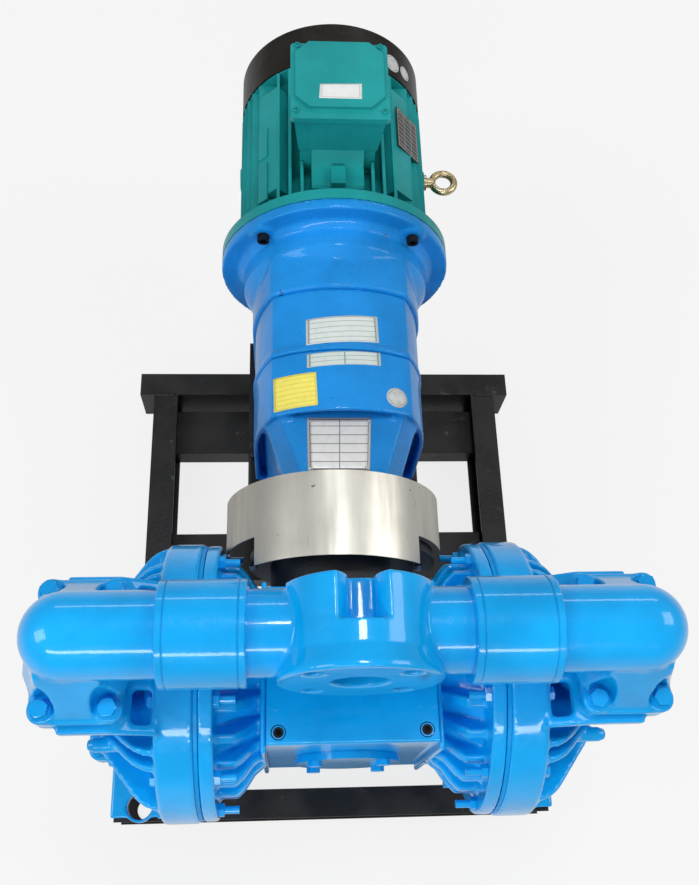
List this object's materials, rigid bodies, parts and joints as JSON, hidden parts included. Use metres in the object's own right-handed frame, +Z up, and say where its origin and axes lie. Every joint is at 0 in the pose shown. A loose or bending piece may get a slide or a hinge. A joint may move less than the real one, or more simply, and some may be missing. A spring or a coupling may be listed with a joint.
{
  "type": "diaphragm pump",
  "caption": "Motor-driven diaphragm pump: crankcase between ribbed diaphragm chambers, flanged manifolds above and below, inline gearbox and finned motor on a channel base frame.",
  "frame": {"origin": "centre of the four foundation holes, on the floor plane", "axes": "+X to the right seen from the flange side, +Y along the drive towards the motor, +Z up"},
  "size_m": [0.628, 1.008, 0.7262],
  "materials": {
    "pump_blue": "gloss",
    "gearbox_blue": "satin",
    "motor_teal": "satin",
    "black_paint": "satin",
    "black_oxide_steel": "satin",
    "stainless_sheet": "brushed",
    "zinc_steel": "satin",
    "machined_steel": "machined",
    "bronze": "machined",
    "black_rubber": "matte",
    "red_elastomer": "matte",
    "cast_iron": "cast",
    "fan_plastic": "moulded"
  },
  "bodies": {
    "pump_unit": {"block_screws": "black_oxide_steel", "centre_block": "pump_blue", "chamber_bolts": "pump_blue", "coupling_guard": "stainless_sheet", "crank_bearings": "machined_steel", "crank_cover": "pump_blue", "cross_members": "black_paint", "diaphragm_left": "black_rubber", "diaphragm_right": "black_rubber", "discharge_elbow_left": "pump_blue", "discharge_elbow_right": "pump_blue", "discharge_manifold": "pump_blue", "drive_endshield": "motor_teal", "elbow_bolts": "pump_blue", "end_beams": "black_paint", "eyebolt": "zinc_steel", "fan_cover": "black_paint", "foot_bolts": "black_oxide_steel", "gearbox_bearings": "machined_steel", "inner_chamber_left": "pump_blue", "inner_chamber_right": "pump_blue", "lantern": "black_paint", "middle_housing": "gearbox_blue", "motor_adapter": "gearbox_blue", "motor_bearings": "machined_steel", "motor_bolts": "black_oxide_steel", "motor_frame": "motor_teal", "outer_chamber_left": "pump_blue", "outer_chamber_right": "pump_blue", "output_housing": "gearbox_blue", "pedestal_rails": "black_paint", "pipe_collars": "pump_blue", "rear_endshield": "motor_teal", "rod_bushes": "bronze", "side_rails": "black_paint", "stator": "cast_iron", "suction_elbow_left": "pump_blue", "suction_elbow_right": "pump_blue", "suction_manifold": "pump_blue", "terminal_box": "motor_teal", "terminal_cover": "motor_teal", "valve_seats": "machined_steel"},
    "motor_rotor": {"rotor": "machined_steel", "motor_pinion": "machined_steel", "cooling_fan": "fan_plastic"},
    "layshaft_set": {"layshaft": "machined_steel", "layshaft_gear": "machined_steel"},
    "crank_set": {"output_shaft": "machined_steel", "output_gear": "machined_steel", "coupling_hub_gearbox": "cast_iron", "coupling_spider": "red_elastomer", "coupling_hub_pump": "cast_iron", "crankshaft": "machined_steel", "eccentric_bearing": "machined_steel"},
    "yoke_set": {"yoke": "machined_steel", "diaphragm_plates": "machined_steel"},
    "discharge_valve_left": {"discharge_ball_left": "black_rubber"},
    "discharge_valve_right": {"discharge_ball_right": "black_rubber"},
    "suction_valve_left": {"suction_ball_left": "black_rubber"},
    "suction_valve_right": {"suction_ball_right": "black_rubber"}
  },
  "joints": [
    {"name": "motor_spin", "type": "hinge", "parent": "pump_unit", "child": "motor_rotor", "pos_m": [0, 0.4375, 0.415], "axis": [0, 1, 0], "range_deg": [-1031, 1031]},
    {"name": "layshaft_spin", "type": "hinge", "parent": "pump_unit", "child": "layshaft_set", "pos_m": [0, 0.1375, 0.3466], "axis": [0, 1, 0], "range_deg": [-304.7, 304.7]},
    {"name": "crank_spin", "type": "hinge", "parent": "pump_unit", "child": "crank_set", "pos_m": [0, -0.2125, 0.415], "axis": [0, 1, 0], "range_deg": [-90, 90]},
    {"name": "yoke_slide", "type": "slide", "parent": "pump_unit", "child": "yoke_set", "axis": [1, 0, 0], "range_m": [-0.0137, 0.0137], "deforming": ["diaphragm_left", "diaphragm_right"]},
    {"name": "discharge_valve_left_lift", "type": "slide", "parent": "pump_unit", "child": "discharge_valve_left", "axis": [0, 0, 1], "range_m": [0, 0.009]},
    {"name": "discharge_valve_right_lift", "type": "slide", "parent": "pump_unit", "child": "discharge_valve_right", "axis": [0, 0, 1], "range_m": [0, 0.009]},
    {"name": "suction_valve_left_lift", "type": "slide", "parent": "pump_unit", "child": "suction_valve_left", "axis": [0, 0, 1], "range_m": [0, 0.009]},
    {"name": "suction_valve_right_lift", "type": "slide", "parent": "pump_unit", "child": "suction_valve_right", "axis": [0, 0, 1], "range_m": [0, 0.009]}
  ],
  "couplings": [
    {"joint": "layshaft_spin", "follows": "motor_spin", "ratio": -0.29545},
    {"joint": "crank_spin", "follows": "motor_spin", "ratio": 0.087293},
    {"joint": "yoke_slide", "follows": "motor_spin", "m_per_rad": 0.00075861}
  ]
}
